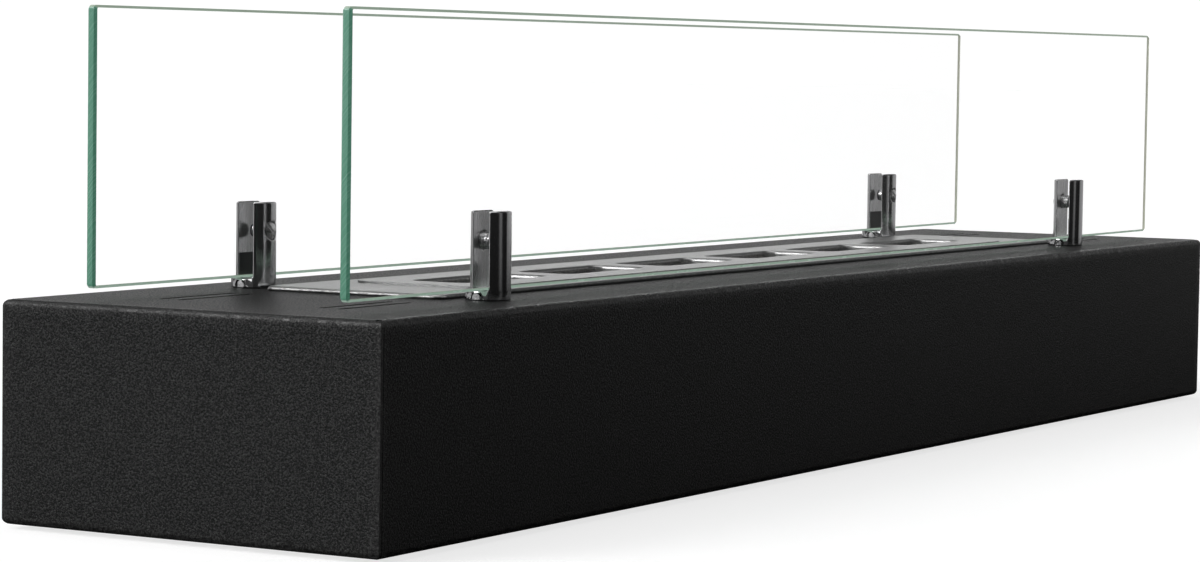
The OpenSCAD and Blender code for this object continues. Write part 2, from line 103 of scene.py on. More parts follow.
class FinishSettings(PropertyGroup):
    coat: tint("Powder Coat", "Colour of the casing's textured powder coat", (0.012, 0.012, 0.012))
    steel: tint("Stainless Steel", "Colour of the brushed trim plate and burner panel", (0.43, 0.43, 0.43))
    tank: tint("Tank Steel", "Colour of the mill-finish steel of the tank", (0.34, 0.33, 0.32))
    chrome: tint("Chrome", "Colour of the polished clamps", (0.72, 0.72, 0.73))
    zinc: tint("Zinc Plate", "Colour of the plated fixings", (0.55, 0.56, 0.58))
    sheet: tint("Galvanised Sheet", "Colour of the galvanised inner sheets", (0.42, 0.43, 0.44))
    rubber: tint("Rubber", "Colour of the feet", (0.02, 0.02, 0.02))
    fibre: tint("Fibre", "Colour of the absorbent fibre", (0.66, 0.64, 0.58))
    fibre_nap: size("Fibre Nap", "Height of the uneven surface of the fibre blocks", 0.0007, 0.0, 0.002)


class StageSettings(PropertyGroup):
    lens: FloatProperty(
        name="Lens", description="Focal length of the camera on a 36 mm wide frame",
        default=107.574, min=35.0, max=300.0, unit="CAMERA")
    floor_half: FloatProperty(
        name="Floor Half Width", description="Distance from the object to the floor's edge",
        default=30.0, min=4.0, max=100.0, unit="LENGTH")
    key: FloatProperty(
        name="Key Lamp", description="Strength of the soft lamp from the left",
        default=0.54, min=0.0, max=6.0, unit="NONE")
    top: FloatProperty(
        name="Top Lamp", description="Strength of the soft lamp from above",
        default=0.25, min=0.0, max=6.0, unit="NONE")
    fill: FloatProperty(
        name="Fill", description="Level of the even light from all round",
        default=0.045, min=0.0, max=2.0, unit="NONE")


# Surfaces

class Shell:
    """Collects point grids and flat outlines, and joins them into one closed mesh."""

    def __init__(self):
        self.points, self.faces, self.slots, self.total = [], [], [], 0

    def grid(self, p, slot=0, closed=False, skip=None):
        """Quads between neighbouring points of the array p[row, column], round the columns if closed."""
        rows, cols = p.shape[:2]
        index = self.total + np.arange(rows * cols).reshape(rows, cols)
        if closed:
            index = np.concatenate([index, index[:, :1]], axis=1)
        quads = np.stack([index[:-1, :-1], index[:-1, 1:], index[1:, 1:], index[1:, :-1]], axis=-1)
        quads = quads[~skip] if skip is not None else quads.reshape(-1, 4)
        self.points.append(p.reshape(-1, 3))
        self.faces.extend(quads.tolist())
        self.slots.extend([slot] * len(quads))
        self.total += rows * cols

    def flat(self, loop):
        """One flat face of the first material on a closed outline of points."""
        self.points.append(loop)
        self.faces.append((self.total + np.arange(len(loop))).tolist())
        self.slots.append(0)
        self.total += len(loop)

    def move(self, side, place):
        """Turns the points' Y round where side is -1, then carries them to the place."""
        self.points = [p * np.array([1.0, side, 1.0]) + np.array(place) for p in self.points]

    def build(self, name, materials):
        """The mesh object: equal points are merged and all faces are turned outwards."""
        merge = 2e-6
        mesh = bpy.data.meshes.new(name)
        mesh.from_pydata(np.concatenate(self.points).tolist(), [], self.faces)
        mesh.polygons.foreach_set("material_index", self.slots)
        work = bmesh.new()
        work.from_mesh(mesh)
        bmesh.ops.remove_doubles(work, verts=work.verts, dist=merge)
        bmesh.ops.dissolve_degenerate(work, edges=work.edges, dist=merge / 2)
        bmesh.ops.recalc_face_normals(work, faces=work.faces)
        work.to_mesh(mesh)
        work.free()
        mesh.polygons.foreach_set("use_smooth", [True] * len(mesh.polygons))
        piece = bpy.data.objects.new(name, mesh)
        bpy.context.scene.collection.objects.link(piece)
        for material in materials:
            mesh.materials.append(material)
        return piece


def rounded(piece, width):
    """A bevel on every edge sharper than the least angle, with the flat faces kept flat to the eye."""
    least_angle = 35.0
    bevel = piece.modifiers.new("edge_round", "BEVEL")
    bevel.width = width
    bevel.segments = 3
    bevel.limit_method = "ANGLE"
    bevel.angle_limit = math.radians(least_angle)
    bevel.harden_normals = True
    bevel.use_clamp_overlap = False
    return piece


def round_rect(length, width, radius, steps=8):
    """Points of a rectangle with round corners: each corner's centre plus radius times (cos, sin)."""
    turn = np.linspace(0.0, math.pi / 2, steps + 1)
    angle = np.concatenate([turn + k * math.pi / 2 for k in range(4)])
    cx = np.repeat([1, -1, -1, 1], steps + 1) * (length / 2 - radius)
    cy = np.repeat([1, 1, -1, -1], steps + 1) * (width / 2 - radius)
    return np.stack([cx + radius * np.cos(angle), cy + radius * np.sin(angle)], axis=1)


def uneven(p, scale, seed):
    """Smooth noise near one in size: sums of sines of the place along random directions, finer waves
    lower."""
    octaves, waves, fade, common = 4, 5, 0.7, 3.4
    rng = np.random.default_rng(seed)
    total = np.zeros(p.shape[:-1])
    for octave in range(octaves):
        for _ in range(waves):
            wave = rng.normal(size=3)
            wave *= 2 ** octave / (scale * np.linalg.norm(wave))
            total += np.sin(p @ wave * 2 * math.pi + rng.uniform(0, 2 * math.pi)) / 2 ** (fade * octave)
    return total / common


def square_round(centre_x, centre_z, half, steps):
    """Points along a square of the given half side, corner to corner, starting at its lower right."""
    t = np.linspace(-half, half, steps + 1)
    x = np.concatenate([np.full(steps, half), -t[:-1], np.full(steps, -half), t[:-1]])
    z = np.concatenate([t[:-1], np.full(steps, half), -t[:-1], np.full(steps, -half)])
    return centre_x + x, centre_z + z


def hole_patch(cx, cz, half, radius, steps, rings):
    """From a square to a round hole in it: each ring is a straight blend of the square and the circle, by
    the square of its number, so that the last ring is wide enough for the rounded rim."""
    sx, sz = square_round(cx, cz, half, steps)
    angle = np.arctan2(sz - cz, sx - cx)
    s = np.linspace(0.0, 1.0, rings + 1)[:, None] ** 2
    round_x, round_z = cx + radius * np.cos(angle), cz + radius * np.sin(angle)
    return (1 - s) * sx + s * round_x, (1 - s) * sz + s * round_z


# Node helpers

class Graph:
    """Adds nodes to a tree. An input given as a socket is linked, and any other value is set."""

    def __init__(self, tree):
        self.tree = tree

    def add(self, kind, inputs=None, **settings):
        """A new node with the given settings and inputs."""
        node = self.tree.nodes.new(kind)
        for key, value in settings.items():
            setattr(node, key, value)
        for key, value in (inputs or {}).items():
            socket = node.inputs[key]
            if isinstance(value, bpy.types.NodeSocket):
                self.tree.links.new(value, socket)
            else:
                socket.default_value = value
        return node

    def math(self, operation, a, b=0.0, clamp=False):
        """The result of a math operation on two values."""
        node = self.add("ShaderNodeMath", {0: a, 1: b}, operation=operation, use_clamp=clamp)
        return node.outputs[0]

    def times(self, a, b):
        """The product of two values."""
        return self.math("MULTIPLY", a, b)

    def most(self, *values):
        """The largest of several values."""
        largest = values[0]
        for value in values[1:]:
            largest = self.math("MAXIMUM", largest, value)
        return largest

    def vector(self, operation, a, b=(0.0, 0.0, 0.0)):
        """The result of a vector operation, a value for lengths and dot products."""
        node = self.add("ShaderNodeVectorMath", {0: a, 1: b}, operation=operation)
        return node.outputs["Value" if operation in ("LENGTH", "DOT_PRODUCT") else "Vector"]

    def parts(self, vector):
        """The X, Y and Z of a vector."""
        return self.add("ShaderNodeSeparateXYZ", {0: vector}).outputs

    def blend(self, factor, a, b):
        """Colour a at factor 0, colour b at factor 1."""
        a, b = (c if isinstance(c, bpy.types.NodeSocket) else (*c, 1.0) for c in (a, b))
        return self.add("ShaderNodeMix", {0: factor, 6: a, 7: b}, data_type="RGBA").outputs[2]

    def span(self, value, low, high, to_low=0.0, to_high=1.0, smooth=True):
        """The value taken from low..high to to_low..to_high, and held at the ends."""
        node = self.add("ShaderNodeMapRange", {"Value": value, "From Min": low, "From Max": high,
                                               "To Min": to_low, "To Max": to_high},
                        interpolation_type="SMOOTHSTEP" if smooth else "LINEAR")
        return node.outputs[0]

    def place(self):
        """The object coordinates of the point."""
        return self.add("ShaderNodeTexCoord").outputs["Object"]

    def normal_z(self):
        """How far the surface faces up: 1 for level ground, 0 for a wall, -1 for a ceiling."""
        return self.parts(self.add("ShaderNodeNewGeometry").outputs["Normal"])[2]

    def noise(self, vector, scale, detail=2.0, roughness=0.5):
        """Noise of a vector."""
        return self.add("ShaderNodeTexNoise", {"Vector": vector, "Scale": scale, "Detail": detail,
                                               "Roughness": roughness}).outputs[0]


def empty_graph(owner):
    """The emptied node tree of a material or world."""
    owner.use_nodes = True
    owner.node_tree.nodes.clear()
    return Graph(owner.node_tree)


def group(name, inputs, fill):
    """A shader node group, built once. Its named inputs are numbers or vectors with their defaults, and
    fill(graph, input sockets) returns its named outputs."""
    tree = bpy.data.node_groups.get(name)
    if tree is None:
        tree = bpy.data.node_groups.new(name, "ShaderNodeTree")
        for title, value in inputs.items():
            kind = POINT if isinstance(value, tuple) else VALUE
            tree.interface.new_socket(title, in_out="INPUT", socket_type=kind).default_value = value
        graph = Graph(tree)
        outputs = fill(graph, graph.add("NodeGroupInput").outputs)
        for title in outputs:
            tree.interface.new_socket(title, in_out="OUTPUT", socket_type=VALUE)
        graph.add("NodeGroupOutput", outputs)
    return tree


def grain_group():
    """Pebbled grain: two noises of the place, the coarse one and a finer one, mixed by Fineness."""
    def fill(g, s):
        place = g.place()
        coarse = g.noise(place, s["Scale"], 2.0, 0.6)
        fine = g.noise(place, g.times(s["Scale"], 2.7), 1.0, 0.5)
        height = g.math("ADD", g.times(coarse, g.math("SUBTRACT", 1.0, s["Fineness"])),
                        g.times(fine, s["Fineness"]))
        return {"Height": height, "Tone": g.span(height, 0.36, 0.64)}
    return group("Pebble Grain", {"Scale": 900.0, "Fineness": 0.4}, fill)


def brushed_group():
    """Brushed lines along X: noise of the place squeezed across the lines and stretched along them."""
    def fill(g, s):
        x, y, z = g.parts(g.place())
        across = g.times(g.math("ADD", y, g.times(z, 0.83)), s["Across"])
        lines = g.add("ShaderNodeCombineXYZ", {0: g.times(x, s["Along"]), 1: across}).outputs[0]
        height = g.noise(lines, 1.0, 3.0, 0.65)
        return {"Height": height, "Tone": g.span(height, 0.3, 0.7)}
    return group("Brushed Lines", {"Along": 30.0, "Across": 2600.0}, fill)


def smudge_group():
    """Wiped smudges: broad noise bent by a second noise, cut to soft patches."""
    def fill(g, s):
        place = g.place()
        bend = g.add("ShaderNodeTexNoise", {"Vector": place, "Scale": g.times(s["Scale"], 0.5)})
        patch = g.noise(g.vector("ADD", place, bend.outputs["Color"]), s["Scale"], 5.0, 0.6)
        return {"Mask": g.times(g.span(patch, 0.45, 0.75), s["Amount"])}
    return group("Wiped Smudges", {"Scale": 60.0, "Amount": 1.0}, fill)


def fold_group():
    """Bands along the folds of a box, which get a painted highlight: the mask nears one where two of the
    three coordinates are within Reach of its faces."""
    def fill(g, s):
        away = g.vector("ABSOLUTE", g.vector("SUBTRACT", g.place(), s["Centre"]))
        depth = g.parts(g.vector("SUBTRACT", s["Half Size"], away))
        x, y, z = (g.span(value, 0.0, s["Reach"], 1.0, 0.0) for value in depth)
        edge = g.most(g.times(x, y), g.times(y, z), g.times(x, z))
        return {"Mask": g.times(edge, g.span(g.noise(g.place(), 140.0, 4.0, 0.6), 0.3, 0.7, 0.35, 1.0))}
    return group("Fold Highlight Bands", {"Centre": (0.0, 0.0, 0.0), "Half Size": (1.0, 1.0, 1.0), "Reach": 0.004},
                 fill)


def dust_group():
    """Settled dust: fine specks where the surface faces up."""
    def fill(g, s):
        specks = g.span(g.noise(g.place(), s["Scale"], 3.0, 0.7), 0.6, 0.78)
        level = g.times(specks, g.span(g.normal_z(), 0.5, 0.95))
        return {"Mask": g.times(level, s["Amount"])}
    return group("Settled Dust", {"Scale": 700.0, "Amount": 0.5}, fill)


def rim_group():
    """Upright rims with painted shade: Rim, the shade's mask, nears the given share on upright faces,
    Mottle is a patchy noise, and the last output, a painted contact shadow, is the part of Rim that lies
    below the height Foot."""
    above, below = 0.3 * MM, 0.4 * MM

    def fill(g, s):
        rim = g.span(g.math("ABSOLUTE", g.normal_z()), 0.3, 0.9, s["Folded"], 0.0)
        unshaded_z, fully_shaded_z = g.math("ADD", s["Foot"], above), g.math("SUBTRACT", s["Foot"], below)
        foot_shadow = g.times(rim, g.span(g.parts(g.place())[2], fully_shaded_z, unshaded_z, 1.0, 0.0))
        mottle = g.span(g.noise(g.place(), 520.0, 3.0, 0.6), 0.38, 0.62)
        return {"Rim": rim, "Mottle": mottle, "Foot Shadow": foot_shadow}
    return group("Folded Rims", {"Folded": 1.0, "Foot": 0.0}, fill)


def studio_group():
    """The studio's light in each direction: a backdrop behind the object, white in the middle and grey to
    its sides, a soft box with a bright core high at the left and behind, a pale panel below it, a soft box
    overhead, a dim strip in front and a dark room."""
    backdrop_way, box_way, panel_way = (0.866, 0.500, 0.0), (-0.62, 0.50, 0.60), (-0.87, 0.48, 0.0)
    side_light, above_light, strip_light, room_light = 0.36, 1.2, 0.16, 0.008
    box_light, core_light, panel_light = 1.3, 7.0, 0.8

    def fill(g, s):
        x, y, z = g.parts(s["Direction"])
        ahead, at_box, at_panel = (g.vector("DOT_PRODUCT", s["Direction"], way)
                                   for way in (backdrop_way, box_way, panel_way))
        sides = g.times(g.span(ahead, 0.12, 0.26, 0.0, side_light), g.span(y, -0.62, -0.30, 0.75, 1.0))
        behind = g.times(g.most(g.span(ahead, 0.88, 0.97), sides), g.span(z, 0.30, 0.48, 1.0, 0.0))
        above = g.span(z, 0.88, 0.96, 0.0, above_light)
        beside = g.span(g.math("ABSOLUTE", g.math("ADD", x, 0.02)), 0.07, 0.17, 1.0, 0.0)
        strip = g.times(g.times(beside, g.span(y, -0.5, -0.3, 1.0, 0.0)), strip_light)
        core = g.span(at_box, 0.966, 0.984, 0.0, core_light)
        box = g.math("ADD", g.span(at_box, 0.90, 0.97, 0.0, box_light), core)
        panel = g.span(at_panel, 0.88, 0.96, 0.0, panel_light)
        return {"Level": g.most(behind, above, strip, room_light, box, panel)}
    return group("Studio Round", {"Direction": (0.0, 0.0, 1.0)}, fill)


def socket_names(values):
    """Keywords as the names of sockets."""
    return {key.replace("_", " "): value for key, value in values.items()}


def surface(name, paint, **constants):
    """A material with one Principled shader. Constants go on its sockets. paint(graph, shader) adds the
    rest, and returns the node to show where that isn't the shader itself."""
    material = bpy.data.materials.get(name)
    if material is None:
        material = bpy.data.materials.new(name)
        graph = empty_graph(material)
        shader = graph.add("ShaderNodeBsdfPrincipled", socket_names(constants))
        shown = paint(graph, shader) or shader
        graph.add("ShaderNodeOutputMaterial", {"Surface": shown.outputs[0]})
    return material


def use(graph, tree, **values):
    """A placed node group with its own values."""
    return graph.add("ShaderNodeGroup", socket_names(values), node_tree=tree).outputs


def drive(graph, shader, color, roughness=None, height=None, strength=1.0, distance=MM):
    """Feeds colour, roughness and a bump of the given height into the shader."""
    graph.tree.links.new(color, shader.inputs["Base Color"])
    if roughness is not None:
        graph.tree.links.new(roughness, shader.inputs["Roughness"])
    if height is not None:
        bump = graph.add("ShaderNodeBump", {"Height": height, "Strength": strength, "Distance": distance})
        graph.tree.links.new(bump.outputs[0], shader.inputs["Normal"])


def shade(color, factor):
    """The colour times a factor, at most white."""
    return tuple(min(1.0, c * factor) for c in color)


# Materials

def powder_coat(coat):
    """Fine-textured matt powder coat, smoother along the folds, where it gets a paler painted highlight."""
    low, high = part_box("casing")
    centre = [(a + b) / 2 for a, b in zip(low, high)]
    half = [(b - a) / 2 for a, b in zip(low, high)]

    def paint(g, shader):
        grain = use(g, grain_group(), Scale=1050.0, Fineness=0.3)
        fold = use(g, fold_group(), Centre=centre, Half_Size=half, Reach=0.007)["Mask"]
        dust = use(g, dust_group(), Scale=900.0, Amount=0.22)["Mask"]
        peak = g.math("POWER", grain["Tone"], 2.0)
        tone = g.blend(peak, shade(coat, 0.2), shade(coat, 3.4))
        # Painted highlight: a paler, speckled tone along the folds.
        tone = g.blend(g.times(fold, 0.6), tone, g.blend(peak, shade(coat, 1.2), shade(coat, 9.0)))
        tone = g.blend(dust, tone, (0.09, 0.09, 0.088))
        rough = g.math("SUBTRACT", g.span(grain["Tone"], 0.0, 1.0, 0.58, 0.38), g.times(fold, 0.24))
        height = g.times(grain["Height"], g.math("SUBTRACT", 1.0, g.times(fold, 0.8)))
        drive(g, shader, tone, rough, height, strength=1.0, distance=0.6 * MM)
    return surface("powder_coat_black", paint, Specular_IOR_Level=0.3)


def brushed_steel(name, color, roughness, cross=2600.0, rim_shade=1.0, foot=0.0):
    """Brushed stainless steel: fine lines along the length, wiped smudges and a little dust. Its upright
    rims get a mottled painted shade by the given share, and a dark painted contact shadow below the height
    foot."""
    def paint(g, shader):
        lines = use(g, brushed_group(), Along=22.0, Across=cross)
        smudge = use(g, smudge_group(), Scale=38.0, Amount=0.8)["Mask"]
        dust = use(g, dust_group(), Scale=800.0, Amount=0.12)["Mask"]
        tone = g.blend(lines["Tone"], shade(color, 0.88), shade(color, 1.1))
        tone = g.blend(g.times(smudge, 0.35), tone, shade(color, 0.8))
        tone = g.blend(dust, tone, (0.3, 0.3, 0.29))
        fold = use(g, rim_group(), Folded=rim_shade, Foot=foot)
        # Painted shade: upright rims get a darker, mottled tone by the given share.
        tone = g.blend(fold["Rim"], tone, g.blend(fold["Mottle"], shade(color, 0.36), shade(color, 0.85)))
        # Painted contact shadow: rims below the foot height go nearly black.
        tone = g.blend(fold["Foot Shadow"], tone, shade(color, 0.06))
        rough = g.math("ADD", g.span(lines["Tone"], 0.0, 1.0, *roughness), g.times(smudge, 0.08))
        rough = g.math("ADD", rough, g.times(fold["Rim"], 0.1))
        drive(g, shader, tone, rough, lines["Height"], strength=0.25, distance=0.03 * MM)
    return surface(name, paint, Metallic=1.0)


def chrome_plate(color):
    """Bright chrome over lightly polished steel: faint haze, fine pits and handling smudges."""
    def paint(g, shader):
        smudge = use(g, smudge_group(), Scale=190.0, Amount=1.0)["Mask"]
        grain = use(g, grain_group(), Scale=2200.0, Fineness=0.25)
        tone = g.blend(g.times(smudge, 0.5), color, shade(color, 0.72))
        rough = g.math("ADD", g.span(grain["Tone"], 0.0, 1.0, 0.05, 0.1), g.times(smudge, 0.1))
        drive(g, shader, tone, rough, grain["Height"], strength=0.6, distance=0.022 * MM)
    return surface("chrome_plate", paint, Metallic=1.0)


def milled_chrome(color):
    """Chrome over the milled faces of the slot: satin, with upright cutter marks."""
    def paint(g, shader):
        marks = use(g, brushed_group(), Along=2300.0, Across=40.0)
        tone = g.blend(marks["Tone"], shade(color, 0.86), shade(color, 0.96))
        rough = g.span(marks["Tone"], 0.0, 1.0, 0.26, 0.32)
        drive(g, shader, tone, rough, marks["Height"], strength=0.12, distance=0.03 * MM)
    return surface("milled_chrome", paint, Metallic=1.0)


def grained(name, scale, fineness, tones, roughness, bump, cloud=None, **constants):
    """A finely grained surface. The grain takes its roughness from the first value to the second, and
    gives a bump of a strength and distance. The tone goes between two colours with the grain or, where
    cloud gives a scale and an amount, with wiped smudges."""
    def paint(g, shader):
        grain = use(g, grain_group(), Scale=scale, Fineness=fineness)
        mask = grain["Tone"]
        if cloud:
            mask = use(g, smudge_group(), Scale=cloud[0], Amount=cloud[1])["Mask"]
        rough = g.span(grain["Tone"], 0.0, 1.0, *roughness)
        drive(g, shader, g.blend(mask, *tones), rough, grain["Height"], *bump)
    return surface(name, paint, **constants)


def screw_plate():
    """Nickel-plated screw, mottled dark and bright."""
    return grained("nickel_screw", scale=900.0, fineness=0.5,
                   tones=((0.46, 0.46, 0.465), (0.9, 0.9, 0.905)), roughness=(0.26, 0.14),
                   bump=(0.3, 0.03 * MM), Metallic=1.0)


def zinc_plate(color):
    """Satin zinc plate: cloudy patches with a fine grain."""
    return grained("zinc_plate", scale=1100.0, fineness=0.6, tones=(color, shade(color, 0.75)),
                   roughness=(0.3, 0.42), bump=(0.2, 0.03 * MM), cloud=(120.0, 1.0), Metallic=1.0)


def moulded_rubber(color):
    """Black rubber with a fine moulded grain and grey bloom."""
    return grained("moulded_rubber", scale=1400.0, fineness=0.5, tones=(color, (0.07, 0.07, 0.068)),
                   roughness=(0.72, 0.88), bump=(0.4, 0.1 * MM), cloud=(90.0, 0.32), Specular_IOR_Level=0.3)


def nylon_tip():
    """Dark nylon with a fine grain and a soft sheen."""
    return grained("nylon_dark", scale=1600.0, fineness=0.5,
                   tones=((0.035, 0.035, 0.037), (0.065, 0.065, 0.068)), roughness=(0.45, 0.6),
                   bump=(0.25, 0.05 * MM))


def galvanised_sheet(color):
    """Galvanised sheet: a spangle of flat crystal patches, each with its own tone."""
    def paint(g, shader):
        cells = g.add("ShaderNodeTexVoronoi", {"Vector": g.place(), "Scale": 130.0})
        patch = g.parts(cells.outputs["Color"])[0]
        smudge = use(g, smudge_group(), Scale=30.0, Amount=0.7)["Mask"]
        tone = g.blend(patch, shade(color, 0.78), shade(color, 1.16))
        tone = g.blend(g.times(smudge, 0.4), tone, shade(color, 0.7))
        grain = use(g, grain_group(), Scale=1500.0, Fineness=0.5)
        rough = g.span(patch, 0.0, 1.0, 0.34, 0.5)
        drive(g, shader, tone, rough, grain["Height"], strength=0.15, distance=0.03 * MM)
    return surface("galvanised_sheet", paint, Metallic=1.0)


def vinyl_liner():
    """Thin vinyl liner, nearly opaque, with handling marks; its dark grey is a painted reflection of the
    dark room.
    """
    def paint(g, shader):
        smudge = use(g, smudge_group(), Scale=220.0, Amount=1.0)["Mask"]
        # Painted reflection: a dark grey tone for the dark room that a clear film would show.
        tone = g.blend(smudge, (0.22, 0.235, 0.23), (0.15, 0.165, 0.16))
        drive(g, shader, tone, g.span(smudge, 0.0, 1.0, 0.22, 0.45))
    return surface("vinyl_painted_dark", paint, Alpha=0.82)


def ceramic_fibre(color):
    """Felted ceramic fibre: matted strands, scorched a little in patches."""
    def paint(g, shader):
        place = g.place()
        twist = g.add("ShaderNodeTexNoise", {"Vector": place, "Scale": 220.0, "Detail": 2.0})
        bent = g.vector("ADD", place, g.vector("MULTIPLY", twist.outputs["Color"], (0.006, 0.006, 0.006)))
        strands = g.noise(g.vector("MULTIPLY", bent, (900.0, 2600.0, 2600.0)), 1.0, 4.0, 0.7)
        crossed = g.noise(g.vector("MULTIPLY", bent, (2600.0, 800.0, 2600.0)), 1.0, 4.0, 0.7)
        height = g.most(strands, crossed)
        scorch = use(g, smudge_group(), Scale=26.0, Amount=1.0)["Mask"]
        tone = g.blend(g.span(height, 0.4, 0.75), shade(color, 0.72), shade(color, 1.12))
        tone = g.blend(g.times(scorch, 0.45), tone, (0.33, 0.29, 0.23))
        drive(g, shader, tone, None, height, strength=0.8, distance=0.6 * MM)
    return surface("ceramic_fibre", paint, Roughness=0.95, Specular_IOR_Level=0.1)


def pane_face():
    """Clear float glass with a coat against reflections, so that most of its light is only bent. Lamps
    shine through it, and a faint wiped haze lies on it."""
    def paint(g, shader):
        haze = use(g, smudge_group(), Scale=7.0, Amount=1.0)["Mask"]
        g.tree.links.new(g.span(haze, 0.0, 1.0, 0.0, 0.002), shader.inputs["Roughness"])
        bent = g.add("ShaderNodeBsdfRefraction", {"IOR": 1.5, "Roughness": 0.0, "Color": WHITE})
        coated = g.add("ShaderNodeMixShader", {0: 0.86, 1: shader.outputs[0], 2: bent.outputs[0]})
        clear = g.add("ShaderNodeBsdfTransparent", {"Color": (0.97, 0.985, 0.98, 1.0)})
        shadow = g.add("ShaderNodeLightPath").outputs["Is Shadow Ray"]
        return g.add("ShaderNodeMixShader", {0: shadow, 1: coated.outputs[0], 2: clear.outputs[0]})
    return surface("float_glass", paint, Base_Color=WHITE, Transmission_Weight=1.0, IOR=1.5)


def pane_edge(glass):
    """Ground and polished glass edge with fine grinding lines, green at the left end. Its grey at the right
    and pale tones at the top and bottom are painted light for how those edges are lit and seen through the
    glass, and a faint painted glow stands for the light that the glass pipes to its edges."""
    low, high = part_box("front_pane")
    ends = 2 * MM

    def paint(g, shader):
        place = g.place()
        lines = use(g, brushed_group(), Along=60.0, Across=1800.0)
        facing = g.normal_z()
        level = g.span(g.math("ABSOLUTE", facing), 0.3, 0.8)
        across = g.span(g.parts(place)[0], low[0] + ends, high[0] - ends, smooth=False)
        flat = g.span(facing, -0.2, 0.2)
        # Painted light: the edge's tone is chosen by where the edge lies.
        tone = g.blend(level, g.blend(across, glass.near_edge, glass.far_edge),
                       g.blend(flat, glass.bottom_edge, glass.top_edge))
        # Painted glow: emission for the light that the glass pipes to its edges.
        glow = g.blend(level, g.blend(across, shade(glass.near_edge, 0.3), shade(glass.far_edge, 0.45)),
                       g.blend(flat, shade(glass.bottom_edge, 0.9), shade(glass.top_edge, 0.6)))
        cloud = g.span(g.noise(place, 9.0), 0.35, 0.7)
        tone = g.blend(g.times(cloud, 0.25), tone, (0.2, 0.42, 0.33))
        tone = g.blend(g.times(lines["Tone"], 0.12), tone, (0.7, 0.78, 0.74))
        rough = g.span(lines["Tone"], 0.0, 1.0, 0.18, 0.3)
        drive(g, shader, tone, rough, lines["Height"], strength=0.15, distance=0.03 * MM)
        g.tree.links.new(glow, shader.inputs["Emission Color"])
    return surface("glass_edge", paint, Emission_Strength=1.0)


def finish(names, material):
    """Gives CAD nodes a material in place of their plain one."""
    for name in names:
        mesh = NODES[name].data
        mesh.materials.clear()
        mesh.materials.append(material)


# Operators

class FIREPLACE_OT_casing(Operator):
    """Textured black coat on the folded casing"""
    bl_idname = "fireplace.casing"
    bl_label = "Casing"

    def execute(self, context):
        finish(["casing"], powder_coat(context.scene.fireplace_finish.coat))
        return {"FINISHED"}


class FIREPLACE_OT_inner_metal(Operator):
    """Galvanised sheets, plated fixings, the clamps' liners and the screws' tips"""
    bl_idname = "fireplace.inner_metal"
    bl_label = "Inner Metal"

    def execute(self, context):
        colors = context.scene.fireplace_finish
        finish(["base_plate", "clamp_channel_left", "clamp_channel_right", "heat_shield"],
               galvanised_sheet(colors.sheet))
        finish(["fixing_tabs", "base_screws", "shield_rivets", "clamp_studs", "clamp_washers",
                "clamp_nuts"], zinc_plate(colors.zinc))
        finish(["clamp_liners"], vinyl_liner())
        finish(["tip_" + corner for corner in CORNERS], nylon_tip())
        return {"FINISHED"}


class FIREPLACE_OT_burner(Operator):
    """Brushed trim plate and burner panel, and the duller tank below them"""
    bl_idname = "fireplace.burner"
    bl_label = "Burner"

    def execute(self, context):
        colors = context.scene.fireplace_finish
        # The trim's lip gets a painted contact shadow below this height.
        lip_foot = 103.1 * MM
        finish(["trim_plate"], brushed_steel("brushed_trim", colors.steel, (0.3, 0.42), foot=lip_foot))
        finish(["burner_panel"], brushed_steel("brushed_panel", colors.steel, (0.28, 0.4), rim_shade=0.45))
        finish(["burner_tank", "tank_baffles"],
               brushed_steel("mill_steel", colors.tank, (0.4, 0.55), cross=900.0, rim_shade=0.0))
        return {"FINISHED"}


